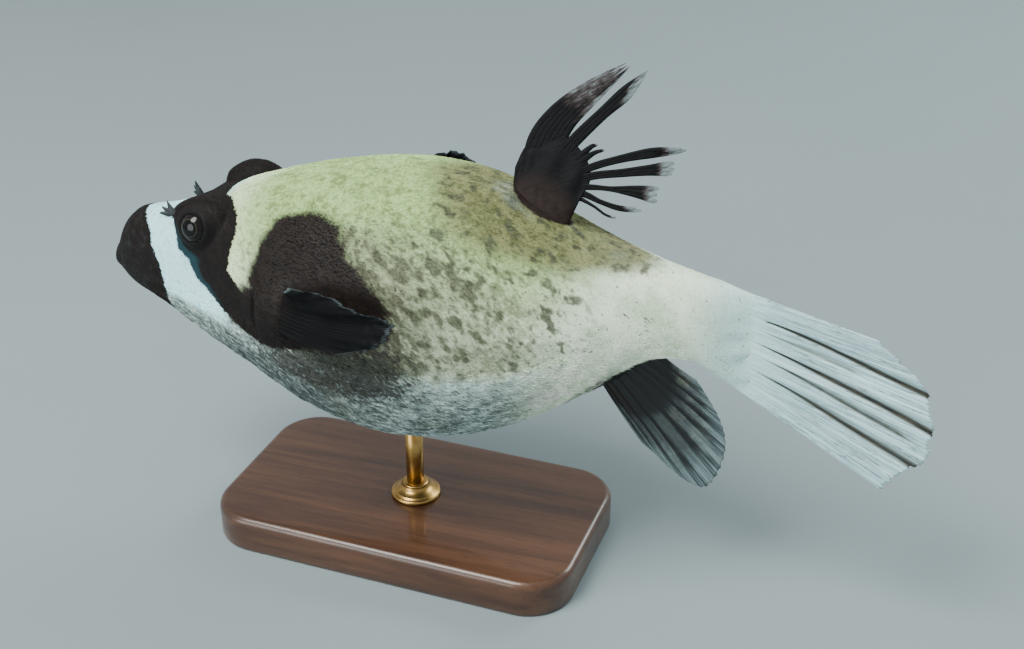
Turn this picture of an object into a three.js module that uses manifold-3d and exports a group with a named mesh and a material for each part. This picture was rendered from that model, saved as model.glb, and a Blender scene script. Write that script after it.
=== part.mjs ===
// Masked puffer (Arothron diadematus), life size, on a museum stand.
//
// Millimetres, +Z up, nose towards -X, the fish's left side towards -Y.
// The origin is the middle of the underside of the stand's base.
// The fish is drawn in its own frame first: x runs tailward from the front of
// the lips, y to the fish's right, z up from the middle of the mouth.

import * as THREE from 'three';
import { mergeVertices } from 'three/addons/utils/BufferGeometryUtils.js';
import { ParametricGeometry } from 'three/addons/geometries/ParametricGeometry.js';
import Module from 'manifold-3d';

const wasm = await Module();
wasm.setup();

// ---------------------------------------------------------------- driving dimensions

const mouthHeight = 88; // middle of the mouth above the floor
const balancePoint = 106; // how far behind the lips the stand is centred
const gap = 0.3; // clearance between neighbouring solids
const headEnd = 70; // head and trunk part at the gill opening
const trunkEnd = 191; // trunk and tail stalk part behind the anal fin

// The body as rings, nose to tail: how far behind the lips, the height of the
// back and of the belly, half the breadth, the height of the broadest line, and
// the squareness of the upper half (1 is an ellipse, less is squarer).
const rings = [
  { x: 0, back: 0, belly: 0, half: 0, broadest: 0, square: 1 },
  { x: 0.6, back: 3.8, belly: -3.6, half: 3.9, broadest: 0, square: 1 },
  { x: 3, back: 12, belly: -6.9, half: 7.3, broadest: 0.2, square: 1 },
  { x: 10, back: 18.6, belly: -10.8, half: 12.3, broadest: 1, square: 0.95 },
  { x: 22, back: 21, belly: -13.3, half: 17.4, broadest: 2, square: 0.88 },
  { x: 38, back: 28, belly: -21, half: 22.5, broadest: 3, square: 0.85 },
  { x: 58, back: 36, belly: -28, half: 30.5, broadest: 3, square: 0.88 },
  { x: 82, back: 43, belly: -39, half: 37.5, broadest: 2, square: 0.92 },
  { x: 108, back: 47.5, belly: -43.5, half: 40, broadest: 1.5, square: 0.95 },
  { x: 132, back: 46, belly: -39, half: 37.5, broadest: 3, square: 0.97 },
  { x: 152, back: 38.5, belly: -30, half: 31, broadest: 4, square: 0.98 },
  { x: 170, back: 32, belly: -17, half: 23, broadest: 8, square: 1 },
  { x: 186, back: 28, belly: -4.5, half: 15, broadest: 11, square: 1 },
  { x: 200, back: 25.5, belly: -3, half: 10, broadest: 11, square: 1 },
  { x: 212, back: 22, belly: -6, half: 6.5, broadest: 7, square: 1 },
];
const ringsAlong = 40;
const ringSides = 32;

const eye = { x: 44, y: 18.8, z: 24.3, radius: 6.6 };
const orbit = { x: 44.5, y: 17, z: 23.3, length: 12, breadth: 8, height: 10 };
const mouth = { x: 2.6, depth: 6.4, half: 4.7, height: 2.8 };
const lips = { x: 2.8, half: 5.2, height: 4.2, thick: 5, fullness: 0.48 };
const beakPlate = { x: 4, depth: 4.2, half: 3.9, height: 2.2, parting: 0.35, groove: 0.4, grooveDepth: 0.6 };
// A nasal tentacle is three flat prongs on one root, all leaning forward, in radians from upright.
const nostril = { x: 27.2, y: 8, z: 21.4, sunk: 0.8 };
const prong = { height: 5.4, rootHalf: 1.5, tipHalf: 0.35, flatness: 0.6, leans: [-0.55, -1.08, -1.58] };

// A fin is a fan of rays. Each ray below runs from its root [x, y, z] to its tip
// [x, y, z], and the rays between them follow a smooth curve through these.
const caudal = {
  rays: [
    { root: [204, 0, 25.4], tip: [253, 0, 13.6] },
    { root: [205, 0, 17], tip: [266, 0, 3.4] },
    { root: [207, 0, 8], tip: [271.5, 0, -10] },
    { root: [206, 0, 1], tip: [269.5, 0, -23] },
    { root: [203, 0, -5.2], tip: [257, 0, -35.2] },
  ],
  rootHalf: 6,
  tipHalf: 0.45,
  taper: 4,
  pleats: 4,
  pleatDepth: 1.3,
  bow: [0, 0, 0],
  across: 24,
  along: 6,
};
const anal = {
  rays: [
    { root: [170, 0, -15], tip: [184.5, 3, -38.5] },
    { root: [172.5, 0, -13], tip: [195, 4, -47.2] },
    { root: [176, 0, -10.5], tip: [205.5, 4, -51.4] },
    { root: [180, 0, -7.5], tip: [211, 4, -38] },
    { root: [184, 0, -5], tip: [209, 2.5, -24] },
    { root: [188, 0, -2.5], tip: [201, 1, -11] },
  ],
  rootHalf: 3.2,
  tipHalf: 0.4,
  taper: 3,
  pleats: 0,
  pleatDepth: 0,
  bow: [-1, 1.5, -1],
  across: 15,
  along: 6,
};
const pectoral = {
  rays: [
    { root: [83, -34, 16.5], tip: [88, -43, 22] },
    { root: [82.5, -34, 15], tip: [99.5, -46.5, 23.5] },
    { root: [81.5, -34.5, 13], tip: [113, -50, 22.5] },
    { root: [80.5, -34.5, 10.5], tip: [124.5, -52, 21] },
    { root: [78.5, -34.5, 6.5], tip: [121, -51.5, 12] },
    { root: [76, -34, 1.5], tip: [106, -48.5, 4] },
  ],
  rootHalf: 2.6,
  tipHalf: 0.4,
  taper: 3,
  pleats: 3,
  pleatDepth: 0.8,
  bow: [0, -3, 0],
  across: 18,
  along: 6,
};
// The right pectoral fin is caught half a beat later, spread wider and higher.
// Each of its tips lies this far from where the left one's would be.
const rightBeat = [
  [-2, -4, 4],
  [-6, -7, 7],
  [-12, -7, 7.5],
  [-15, -8, 1],
  [-12, -7, -1],
  [-6, -4, -1],
];

// The dorsal fin: a fleshy lobe on the back and the separate blades that it
// frays into. The fin leans to the fish's right by `lean` for each mm of height.
const dorsal = {
  lean: 0.15,
  leanFrom: 40,
  lobe: [
    { root: [142, 38], tip: [142.5, 53] },
    { root: [147, 37], tip: [150, 61] },
    { root: [152, 36], tip: [160, 60] },
    { root: [157, 35], tip: [167, 52.5] },
    { root: [162, 34], tip: [164, 43] },
  ],
  lobeRootHalf: 4.5,
  lobeTipHalf: 0.9,
  lobeTaper: 1.6,
  blades: [
    { through: [[145.5, 50], [151, 61.5], [162, 73], [177, 83.5]], rootWidth: 10.5, tipWidth: 6.5 },
    { through: [[152, 51], [159, 60], [168, 69], [177.5, 79]], rootWidth: 5, tipWidth: 3 },
    { through: [[156, 51], [160, 56], [164, 59], [168, 61.5]], rootWidth: 3, tipWidth: 2 },
    { through: [[157, 48], [168, 54.5], [179, 59], [192.5, 62]], rootWidth: 2.4, tipWidth: 4.5 },
    { through: [[157, 46.5], [168, 51.5], [179, 54.5], [192, 57]], rootWidth: 2.4, tipWidth: 5 },
    { through: [[156, 44.5], [166, 48], [176, 49.3], [187.5, 49.5]], rootWidth: 2.6, tipWidth: 5.5 },
    { through: [[154, 41.5], [162, 43.8], [171, 44], [181.5, 42.5]], rootWidth: 4, tipWidth: 6 },
  ],
  bladeHalf: 0.45,
  bladeRoundsFrom: 0.85, // of its length, where a blade starts to round off
  bladeTipShare: 0.55, // of its width, what is left at the very tip
  bladeRootShare: 0.6, // of its width, where it is buried in the lobe
};

const base = { length: 128, breadth: 70, height: 13, corner: 16, bevel: 2.5 };
const rod = { radius: 3, sunk: 8, x: 0 };
const collar = { radius: 8.5, height: 5, neck: 4.6, rim: 1.4, step: 1.6, stepHeight: 2.2 };

// ---------------------------------------------------------------- materials

function finish(color, roughness, metalness = 0) {
  return new THREE.MeshStandardMaterial({ color, roughness, metalness });
}
const maskSkin = finish(0x231d1c, 0.6);
const bodySkin = finish(0xb9bda5, 0.65);
const tailSkin = finish(0xc6cfc8, 0.6);
const darkFin = finish(0x17181b, 0.5);
const paleFin = finish(0xd3dcdc, 0.5);
const eyeGloss = finish(0x15110c, 0.1);
const tooth = finish(0xe8e2cf, 0.3);
const walnut = finish(0x4a2f20, 0.4);
const brass = finish(0xb08d4a, 0.3, 1);

// ---------------------------------------------------------------- solids and cuts

/** A closed three.js geometry as a solid that can be joined and cut. */
function solid(geometry) {
  const bare = geometry.clone();
  bare.deleteAttribute('normal');
  bare.deleteAttribute('uv');
  const merged = mergeVertices(bare, 1e-3);
  const corners = merged.index.array;
  const faces = [];
  for (let i = 0; i < corners.length; i += 3) {
    const [a, b, c] = [corners[i], corners[i + 1], corners[i + 2]];
    if (a !== b && b !== c && c !== a) faces.push(a, b, c);
  }
  const vertProperties = new Float32Array(merged.attributes.position.array);
  return new wasm.Manifold(new wasm.Mesh({
    numProp: 3,
    vertProperties,
    triVerts: new Uint32Array(faces),
  }));
}

/** A solid as a named mesh, moved from the fish's frame into the model's. */
function part(name, body, material) {
  const { vertProperties, triVerts } = body.getMesh();
  const geometry = new THREE.BufferGeometry();
  geometry.setAttribute('position', new THREE.BufferAttribute(vertProperties, 3));
  geometry.setIndex(new THREE.BufferAttribute(triVerts, 1));
  geometry.computeVertexNormals();
  const mesh = new THREE.Mesh(geometry, material);
  mesh.name = name;
  return mesh;
}

/** A ball stretched to three radii round a centre. */
function ball([x, y, z], [rx, ry, rz], sides, bands) {
  const geometry = new THREE.SphereGeometry(1, sides, bands);
  geometry.scale(rx, ry, rz);
  geometry.translate(x, y, z);
  return solid(geometry);
}

/** A box between two corners. */
function block(low, high) {
  const size = high.map((value, i) => value - low[i]);
  const geometry = new THREE.BoxGeometry(...size);
  geometry.translate(...low.map((value, i) => value + size[i] / 2));
  return solid(geometry);
}

const far = 400;

/** The part of the fish between two stations along its length. */
function between(from, to) {
  return block([from, -far, -far], [to, far, far]);
}

/** The mirror image of a solid, from the fish's left side to its right. */
function mirrored(body) {
  return body.mirror([0, 1, 0]);
}

// ---------------------------------------------------------------- the body

const profile = new THREE.CatmullRomCurve3(
  rings.map((ring) => new THREE.Vector3(ring.x, ring.back, ring.belly)), false, 'catmullrom', 0.5);
const plan = new THREE.CatmullRomCurve3(
  rings.map((ring) => new THREE.Vector3(ring.half, ring.broadest, ring.square)), false, 'catmullrom', 0.5);

/**
 * The whole body, grown outwards by a margin. Each ring is two half ellipses,
 * above and below its broadest line, squared by raising sine and cosine to a
 * power, and the last ring closes on its own middle.
 */
function wholeBody(margin) {
  const at = new THREE.Vector3();
  const wide = new THREE.Vector3();
  const surface = (u, v, target) => {
    const closing = v === 1;
    profile.getPoint(Math.min(1, v / (1 - 1 / ringsAlong)), at);
    plan.getPoint(Math.min(1, v / (1 - 1 / ringsAlong)), wide);
    const nose = v === 0;
    const size = nose || closing ? 0 : 1;
    const turn = (u === 1 ? 0 : -u) * 2 * Math.PI;
    const rise = Math.sign(Math.cos(turn)) * Math.abs(Math.cos(turn)) ** wide.z * size;
    const side = Math.sign(Math.sin(turn)) * Math.abs(Math.sin(turn)) ** wide.z * size;
    const reach = rise > 0 ? at.y - wide.y + margin : wide.y - at.z + margin;
    const x = at.x + (nose ? -margin : 0) + (closing ? margin + 0.5 : 0);
    target.set(x, side * (wide.x + margin), wide.y + rise * reach);
  };
  return solid(new ParametricGeometry(surface, ringSides, ringsAlong));
}

const body = wholeBody(0);
const clearOfBody = wholeBody(gap);

// ---------------------------------------------------------------- head

/** The thick lips: a flattened ring round the mouth. */
function lipRing() {
  const geometry = new THREE.TorusGeometry(1, lips.fullness, 7, 20);
  geometry.rotateY(Math.PI / 2);
  geometry.scale(lips.thick, lips.half, lips.height);
  geometry.translate(lips.x, 0, 0);
  return solid(geometry);
}

function orbitBulge() {
  return ball([orbit.x, -orbit.y, orbit.z], [orbit.length, orbit.breadth, orbit.height], 14, 10);
}

function eyeBall(margin) {
  const radius = eye.radius + margin;
  return ball([eye.x, -eye.y, eye.z], [radius, radius, radius], 14, 10);
}

function headSolid() {
  const leftOrbit = orbitBulge();
  const leftSocket = eyeBall(gap);
  const opening = ball([mouth.x, 0, 0], [mouth.depth, mouth.half, mouth.height], 14, 8);
  return body
    .intersect(between(-far, headEnd - gap / 2))
    .add(lipRing())
    .add(leftOrbit)
    .add(mirrored(leftOrbit))
    .subtract(leftSocket)
    .subtract(mirrored(leftSocket))
    .subtract(opening);
}

/** Half of the beak: two fused teeth with a groove where they meet. */
function beakHalf(direction) {
  const { x, depth, half, height, parting, groove, grooveDepth } = beakPlate;
  const whole = ball([x, 0, 0], [depth, half, height], 14, 8);
  const low = direction > 0 ? parting / 2 : -far;
  const high = direction > 0 ? far : -parting / 2;
  const line = block([-far, -groove / 2, -far], [x - depth + grooveDepth, groove / 2, far]);
  return whole.intersect(block([-far, -far, low], [far, far, high])).subtract(line);
}

/** A nasal tentacle: flat tapering prongs that fan out from one root. */
function nasalTentacle() {
  const prongs = prong.leans.map((lean) => {
    const cone = new THREE.CylinderGeometry(prong.tipHalf, prong.rootHalf, prong.height, 6, 1);
    cone.scale(1, 1, prong.flatness);
    cone.translate(0, prong.height / 2, 0);
    cone.rotateX(Math.PI / 2);
    cone.rotateY(lean);
    cone.translate(nostril.x, -nostril.y, nostril.z - nostril.sunk);
    return solid(cone);
  });
  return prongs.reduce((sum, next) => sum.add(next)).subtract(clearOfBody);
}

// ---------------------------------------------------------------- fins

const vector = (point) => new THREE.Vector3(...point);
const rimShare = 0.55; // of its thickness, what a fin keeps at its first and last ray

/**
 * A fan of rays as a thin closed pillow: two faces that meet at the rim. Half the
 * thickness falls from rootHalf to tipHalf with the given taper, and pleats are
 * waves across the fan that deepen towards the tips. The bow is how far the
 * middle of each ray stands off the straight line from root to tip.
 */
function fan({ rays, rootHalf, tipHalf, taper, pleats, pleatDepth, bow, across, along }) {
  const roots = new THREE.CatmullRomCurve3(rays.map((ray) => vector(ray.root)), false, 'catmullrom', 0.5);
  const tips = new THREE.CatmullRomCurve3(rays.map((ray) => vector(ray.tip)), false, 'catmullrom', 0.5);
  const middle = rays[Math.floor(rays.length / 2)];
  const rayWay = vector(middle.tip).sub(vector(middle.root));
  const rootWay = vector(rays[0].root).sub(vector(rays.at(-1).root));
  const normal = new THREE.Vector3().crossVectors(rayWay, rootWay).normalize();
  const bowWay = vector(bow);
  const root = new THREE.Vector3();
  const tip = new THREE.Vector3();
  const surface = (u, v, target) => {
    const face = u <= 0.5 ? 1 : -1;
    const over = u <= 0.5 ? u * 2 : (1 - u) * 2;
    roots.getPoint(over, root);
    tips.getPoint(over, tip);
    const rim = v === 0 || v === 1 || over === 0 || over === 1;
    const half = rim ? 0 : tipHalf + (rootHalf - tipHalf) * (1 - v) ** taper;
    const rimmed = half * Math.min(1, rimShare + 2 * Math.min(over, 1 - over));
    const pleat = pleatDepth * v * Math.sin(over * pleats * 2 * Math.PI);
    target.lerpVectors(root, tip, v)
      .addScaledVector(normal, face * rimmed + pleat)
      .addScaledVector(bowWay, 4 * v * (1 - v));
  };
  return solid(new ParametricGeometry(surface, across * 2, along));
}

/** A solid turned the right way out, whichever way its faces were made. */
function outward(make, spec) {
  const made = make(spec);
  return made.volume() > 0 ? made : make({ ...spec, rays: [...spec.rays].reverse() });
}

const onDorsal = ([x, z]) => [x, (z - dorsal.leanFrom) * dorsal.lean, z];

/** One blade of the dorsal fin: a flat strip along a curve, broad at its frayed tip. */
function blade({ through, rootWidth, tipWidth }) {
  const curve = new THREE.CatmullRomCurve3(through.map((point) => vector(onDorsal(point))));
  const lookY = new THREE.Vector3(0, 1, 0);
  const { bladeRoundsFrom, bladeTipShare, bladeRootShare } = dorsal;
  const at = new THREE.Vector3();
  const surface = (u, v, target) => {
    const turn = (u === 1 ? 0 : -u) * 2 * Math.PI;
    curve.getPoint(v, at);
    const across = curve.getTangent(v).cross(lookY).normalize();
    const ending = Math.max(0, (v - bladeRoundsFrom) / (1 - bladeRoundsFrom));
    const rounding = v === 0 ? bladeRootShare : 1 - (1 - bladeTipShare) * ending ** 2;
    const halfWidth = (rootWidth + (tipWidth - rootWidth) * v) / 2 * rounding;
    const halfThick = v === 0 || v === 1 ? 0 : dorsal.bladeHalf;
    target.copy(at)
      .addScaledVector(across, Math.cos(turn) * halfWidth)
      .addScaledVector(lookY, Math.sin(turn) * halfThick);
  };
  return solid(new ParametricGeometry(surface, 6, 7));
}

function dorsalFin() {
  const lobe = outward(fan, {
    rays: dorsal.lobe.map(({ root, tip }) => ({ root: onDorsal(root), tip: onDorsal(tip) })),
    rootHalf: dorsal.lobeRootHalf,
    tipHalf: dorsal.lobeTipHalf,
    taper: dorsal.lobeTaper,
    pleats: 0,
    pleatDepth: 0,
    bow: [0, 0, 0],
    across: 10,
    along: 5,
  });
  const whole = dorsal.blades.reduce((sum, spec) => sum.add(blade(spec)), lobe);
  return whole.subtract(clearOfBody);
}

// ---------------------------------------------------------------- stand

/** The base: a rounded rectangle with a soft upper edge, bored for the rod. */
function standBase() {
  const { length, breadth, height, corner, bevel } = base;
  const [halfLength, halfBreadth] = [length / 2 - bevel, breadth / 2 - bevel];
  const outline = new THREE.Shape();
  outline.moveTo(-halfLength + corner, -halfBreadth);
  outline.lineTo(halfLength - corner, -halfBreadth);
  outline.absarc(halfLength - corner, -halfBreadth + corner, corner, -Math.PI / 2, 0);
  outline.lineTo(halfLength, halfBreadth - corner);
  outline.absarc(halfLength - corner, halfBreadth - corner, corner, 0, Math.PI / 2);
  outline.lineTo(-halfLength + corner, halfBreadth);
  outline.absarc(-halfLength + corner, halfBreadth - corner, corner, Math.PI / 2, Math.PI);
  outline.lineTo(-halfLength, -halfBreadth + corner);
  outline.absarc(-halfLength + corner, -halfBreadth + corner, corner, Math.PI, Math.PI * 1.5);
  const slab = new THREE.ExtrudeGeometry(outline, {
    depth: height - bevel * 2,
    bevelThickness: bevel,
    bevelSize: bevel,
    bevelSegments: 2,
    curveSegments: 4,
  });
  slab.translate(0, 0, bevel);
  const bore = new THREE.CylinderGeometry(rod.radius + gap, rod.radius + gap, height, 16);
  bore.rotateX(Math.PI / 2);
  bore.translate(rod.x, 0, height / 2 + height - rod.sunk);
  return solid(slab).subtract(solid(bore));
}

/** The rod, from its bore up to the belly, whose curve its top follows. */
function standRod(bodyClearance) {
  const top = mouthHeight;
  const foot = base.height - rod.sunk + gap;
  const shaft = new THREE.CylinderGeometry(rod.radius, rod.radius, top - foot, 16);
  shaft.rotateX(Math.PI / 2);
  shaft.translate(rod.x, 0, (top + foot) / 2);
  return solid(shaft).subtract(bodyClearance);
}

/** The collar round the foot of the rod, turned with a narrow neck. */
function standCollar() {
  const inner = rod.radius + gap;
  const low = base.height + gap;
  const outline = [
    new THREE.Vector2(inner, low),
    new THREE.Vector2(collar.radius, low),
    new THREE.Vector2(collar.radius, low + collar.rim),
    new THREE.Vector2(collar.radius - collar.step, low + collar.stepHeight),
    new THREE.Vector2(collar.neck, low + collar.height),
    new THREE.Vector2(inner, low + collar.height),
    new THREE.Vector2(inner, low),
  ];
  const turned = new THREE.LatheGeometry(outline, 20);
  turned.rotateX(Math.PI / 2);
  turned.translate(rod.x, 0, 0);
  return solid(turned);
}

// ---------------------------------------------------------------- assembly

const toStand = [-balancePoint, 0, mouthHeight];
const fish = (name, shape, material) => part(name, shape.translate(toStand), material);

const leftEye = eyeBall(0);
const leftTentacle = nasalTentacle();
const leftPectoral = outward(fan, pectoral).subtract(clearOfBody);
const rightPectoral = outward(fan, {
  ...pectoral,
  rays: pectoral.rays.map(({ root, tip }, i) => ({
    root,
    tip: tip.map((value, axis) => value + rightBeat[i][axis]),
  })),
}).subtract(clearOfBody);
const stalk = body.intersect(between(trunkEnd + gap / 2, far));

const puffer = new THREE.Group();
puffer.add(
  fish('head', headSolid(), maskSkin),
  fish('trunk', body.intersect(between(headEnd + gap / 2, trunkEnd - gap / 2)), bodySkin),
  fish('tail_stalk', stalk, tailSkin),
  fish('beak_upper', beakHalf(1), tooth),
  fish('beak_lower', beakHalf(-1), tooth),
  fish('eye_left', leftEye, eyeGloss),
  fish('eye_right', mirrored(leftEye), eyeGloss),
  fish('nasal_tentacle_left', leftTentacle, darkFin),
  fish('nasal_tentacle_right', mirrored(leftTentacle), darkFin),
  fish('pectoral_fin_left', leftPectoral, darkFin),
  fish('pectoral_fin_right', mirrored(rightPectoral), darkFin),
  fish('dorsal_fin', dorsalFin(), darkFin),
  fish('anal_fin', outward(fan, anal).subtract(clearOfBody), darkFin),
  fish('caudal_fin', outward(fan, caudal).subtract(clearOfBody), paleFin),
  part('stand_base', standBase(), walnut),
  part('stand_collar', standCollar(), brass),
  part('stand_rod', standRod(clearOfBody.translate(toStand)), brass),
);

export default puffer;
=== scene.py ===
# Masked puffer, Arothron diadematus, life size, on a museum stand: its looks.
# Metres and +Z up in the model; the fish is worked out in millimetres in its own frame,
# where x runs tailward from the lips, y to the fish's right, and z up from the mouth.

import math
import bpy
import numpy as np
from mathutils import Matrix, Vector


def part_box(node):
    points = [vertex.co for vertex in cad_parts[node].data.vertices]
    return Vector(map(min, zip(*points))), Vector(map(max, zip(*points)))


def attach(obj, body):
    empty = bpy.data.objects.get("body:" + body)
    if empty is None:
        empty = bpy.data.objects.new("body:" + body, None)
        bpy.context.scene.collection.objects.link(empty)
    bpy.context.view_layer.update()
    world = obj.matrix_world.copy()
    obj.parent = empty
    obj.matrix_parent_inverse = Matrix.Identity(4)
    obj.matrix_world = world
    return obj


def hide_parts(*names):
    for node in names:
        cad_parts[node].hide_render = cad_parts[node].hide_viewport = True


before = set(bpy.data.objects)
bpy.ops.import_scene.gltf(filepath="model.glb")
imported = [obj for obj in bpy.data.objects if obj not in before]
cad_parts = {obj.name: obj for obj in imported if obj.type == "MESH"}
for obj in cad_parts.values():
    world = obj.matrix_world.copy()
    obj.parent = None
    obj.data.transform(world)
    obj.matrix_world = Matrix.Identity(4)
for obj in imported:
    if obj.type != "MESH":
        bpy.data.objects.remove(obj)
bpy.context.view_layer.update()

# -------------------- camera, floor and light
# A studio bench: a wide pale floor, one big soft lamp above the fish's left shoulder,
# a weaker one in front of it and a rim lamp behind, in a pale room.

aim = Vector((0.0354, 0, 0.0858))
distance = 0.4465
azimuth = math.radians(20.374)
elevation = math.radians(28.609)
level = math.cos(elevation)
away = Vector((level * math.sin(azimuth), -level * math.cos(azimuth), math.sin(elevation)))
camera = bpy.data.objects.new("camera", bpy.data.cameras.new("camera"))
camera.data.lens = 50
camera.data.sensor_width = 36
camera.data.clip_start = 0.01
camera.location = aim + away * distance
camera.rotation_euler = (-away).to_track_quat("-Z", "Y").to_euler()
bpy.context.scene.collection.objects.link(camera)
bpy.context.scene.camera = camera

world = bpy.data.worlds.new("room")
world.use_nodes = True
background = world.node_tree.nodes["Background"].inputs
background["Color"].default_value = (0.83, 0.865, 0.87, 1)
background["Strength"].default_value = 0.68
bpy.context.scene.world = world

# Each lamp: its name, place, breadth in metres, watts and tint.
lamps = [
    ("lamp_key", (-0.35, -0.55, 1.15), 0.7, 20, (1, 1, 0.96)),
    ("lamp_front", (-0.6, -1.15, 0.32), 0.9, 10, (0.96, 0.99, 1)),
    ("lamp_rim", (0.7, 0.9, 0.8), 0.6, 9, (0.9, 1, 1)),
]
for name, place, breadth, watts, tint in lamps:
    data = bpy.data.lights.new(name, "AREA")
    data.shape = "DISK"
    data.size = breadth
    data.energy = watts
    data.color = tint
    lamp = bpy.data.objects.new(name, data)
    lamp.location = place
    lamp.rotation_euler = (aim - lamp.location).to_track_quat("-Z", "Y").to_euler()
    bpy.context.scene.collection.objects.link(lamp)


def color(red, green, blue):
    """A colour given as it looks on a screen, 0 to 255, as the linear values that a socket takes."""
    values = np.array([red, green, blue]) / 255
    linear = np.where(values > 0.04045, ((values + 0.055) / 1.055) ** 2.4, values / 12.92)
    return (*linear.tolist(), 1)


class Wire:
    """One output socket of a material's nodes. Arithmetic on it adds Math nodes."""

    def __init__(self, tree, socket=None):
        self.tree = tree
        self.socket = socket

    def node(self, kind, sockets, out=0, **settings):
        """A node of that type, with its settings set first and its sockets given values or links."""
        made = self.tree.nodes.new(kind)
        for name, value in settings.items():
            setattr(made, name, value)
        for name, value in sockets.items():
            if isinstance(value, Wire):
                self.tree.links.new(value.socket, made.inputs[name])
            else:
                made.inputs[name].default_value = value
        return Wire(self.tree, made.outputs[out])

    def math(self, operation, *values):
        return self.node("ShaderNodeMath", dict(enumerate(values)), operation=operation)

    def __add__(self, other):
        return self.math("ADD", self, other)

    def __sub__(self, other):
        return self.math("SUBTRACT", self, other)

    def __rsub__(self, other):
        return self.math("SUBTRACT", other, self)

    def __mul__(self, other):
        return self.math("MULTIPLY", self, other)

    def __abs__(self):
        return self.math("ABSOLUTE", self)

    __radd__ = __add__
    __rmul__ = __mul__

    def most(self, other):
        return self.math("MAXIMUM", self, other)

    def step(self, low, high):
        """0 below low and 1 above high, with a soft rise between."""
        return self.node("ShaderNodeMapRange", {"Value": self, "From Min": low, "From Max": high},
                         interpolation_type="SMOOTHSTEP")

    def mix(self, first, second):
        """The first colour where this is 0 and the second where it is 1: wires, or values 0 to 255."""
        first, second = (tint if isinstance(tint, Wire) else color(*tint) for tint in (first, second))
        return self.node("ShaderNodeMix", {0: self, 6: first, 7: second}, out=2, data_type="RGBA")

    def attribute(self, name):
        return self.node("ShaderNodeAttribute", {}, out=2, attribute_name=name)

    def place(self, stretch=(1, 1, 1), turn=(0, 0, 0)):
        """Object coordinates in millimetres, in axes turned by those angles and then stretched."""
        here = self.node("ShaderNodeTexCoord", {}, out=3)
        scale = tuple(side / 1000 for side in stretch)
        return self.node("ShaderNodeMapping", {"Vector": here, "Scale": scale, "Rotation": turn},
                         vector_type="TEXTURE")

    def texture(self, place, scale, detail, roughness):
        return self.node("ShaderNodeTexNoise", {
            "Vector": place, "Scale": scale, "Detail": detail, "Roughness": roughness})

    def noise(self, size, detail=3, roughness=0.5, stretch=(1, 1, 1), turn=(0, 0, 0)):
        """Noise between 0 and 1 whose features are that many millimetres across."""
        return self.texture(self.place(stretch, turn), 1 / size, detail, roughness)

    def streaks(self, x, y, z, detail, roughness, scale=1):
        """Noise between 0 and 1 at a place made of three wires, drawn out where they change slowly."""
        place = self.node("ShaderNodeCombineXYZ", {0: x, 1: y, 2: z})
        return self.texture(place, scale, detail, roughness)

    def cells(self, size):
        """Distance to the nearest of scattered points that lie about that many millimetres apart."""
        return self.node("ShaderNodeTexVoronoi", {"Vector": self.place(), "Scale": 1 / size})


def coated(tone, *coats):
    """A tint with coats laid over it in turn, each given as where it lies and its own tint."""
    for share, tint in coats:
        tone = share.mix(tone, tint)
    return tone


def material(name, roughness=0.5, coat=0, specular=0.5, metallic=0):
    """A new material: (the material, a wire that makes its nodes, a function that feeds its shader)."""
    made = bpy.data.materials.new(name)
    made.use_nodes = True
    shader = made.node_tree.nodes["Principled BSDF"]
    levels = {"Roughness": roughness, "Coat Weight": coat, "Coat Roughness": 0.05,
              "Specular IOR Level": specular, "Metallic": metallic}
    for socket, level in levels.items():
        shader.inputs[socket].default_value = level

    def feed(**sockets):
        """Links wires to the shader's sockets; bump is (height, distance in mm, strength)."""
        for socket, wire in sockets.items():
            if socket == "bump":
                height, distance_mm, strength = wire
                wire = height.node("ShaderNodeBump", {
                    "Height": height, "Distance": distance_mm / 1000, "Strength": strength})
                socket = "normal"
            made.node_tree.links.new(wire.socket, shader.inputs[socket.replace("_", " ").title()])

    return made, Wire(made.node_tree), feed


def make_piece(name, points, faces, finish, replaced=(), slot=None, attributes=(), smooth=True,
               unwrap=None):
    """A mesh object from points in metres and arrays of faces, riding on the model's one body.

    If the faces enclose a negative volume they are turned over, so that they point outwards.
    attributes are numbers for each point, and unwrap is a place for each point in the map OFBake.
    """
    triangles = np.concatenate([
        group[:, [0, i, i + 1]] for group in faces for i in range(1, group.shape[1] - 1)])
    corners = points[triangles]
    volume = np.einsum("ij,ij->i", corners[:, 0], np.cross(corners[:, 1], corners[:, 2])).sum()
    if volume < 0:
        faces = [group[:, ::-1] for group in faces]
    loops = np.concatenate([group.ravel() for group in faces])
    sizes = np.concatenate([np.full(len(group), group.shape[1]) for group in faces])
    mesh = bpy.data.meshes.new(name)
    mesh.vertices.add(len(points))
    mesh.vertices.foreach_set("co", points.astype(np.float32).ravel())
    mesh.loops.add(len(loops))
    mesh.loops.foreach_set("vertex_index", loops.astype(np.int32))
    mesh.polygons.add(len(sizes))
    mesh.polygons.foreach_set("loop_start", (np.cumsum(sizes) - sizes).astype(np.int32))
    mesh.polygons.foreach_set("use_smooth", np.full(len(sizes), smooth))
    mesh.update(calc_edges=True)
    for key, values in dict(attributes).items():
        layer = mesh.attributes.new(key, "FLOAT", "POINT")
        layer.data.foreach_set("value", values.astype(np.float32).ravel())
    if unwrap is not None:
        mesh.uv_layers.new(name="OFBake").data.foreach_set("uv", unwrap[loops].astype(np.float32).ravel())
    mesh.materials.append(finish)
    made = bpy.data.objects.new(name, mesh)
    bpy.context.scene.collection.objects.link(made)
    if slot:
        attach(made, "root")
    if replaced:
        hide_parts(*replaced)
    return made


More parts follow.
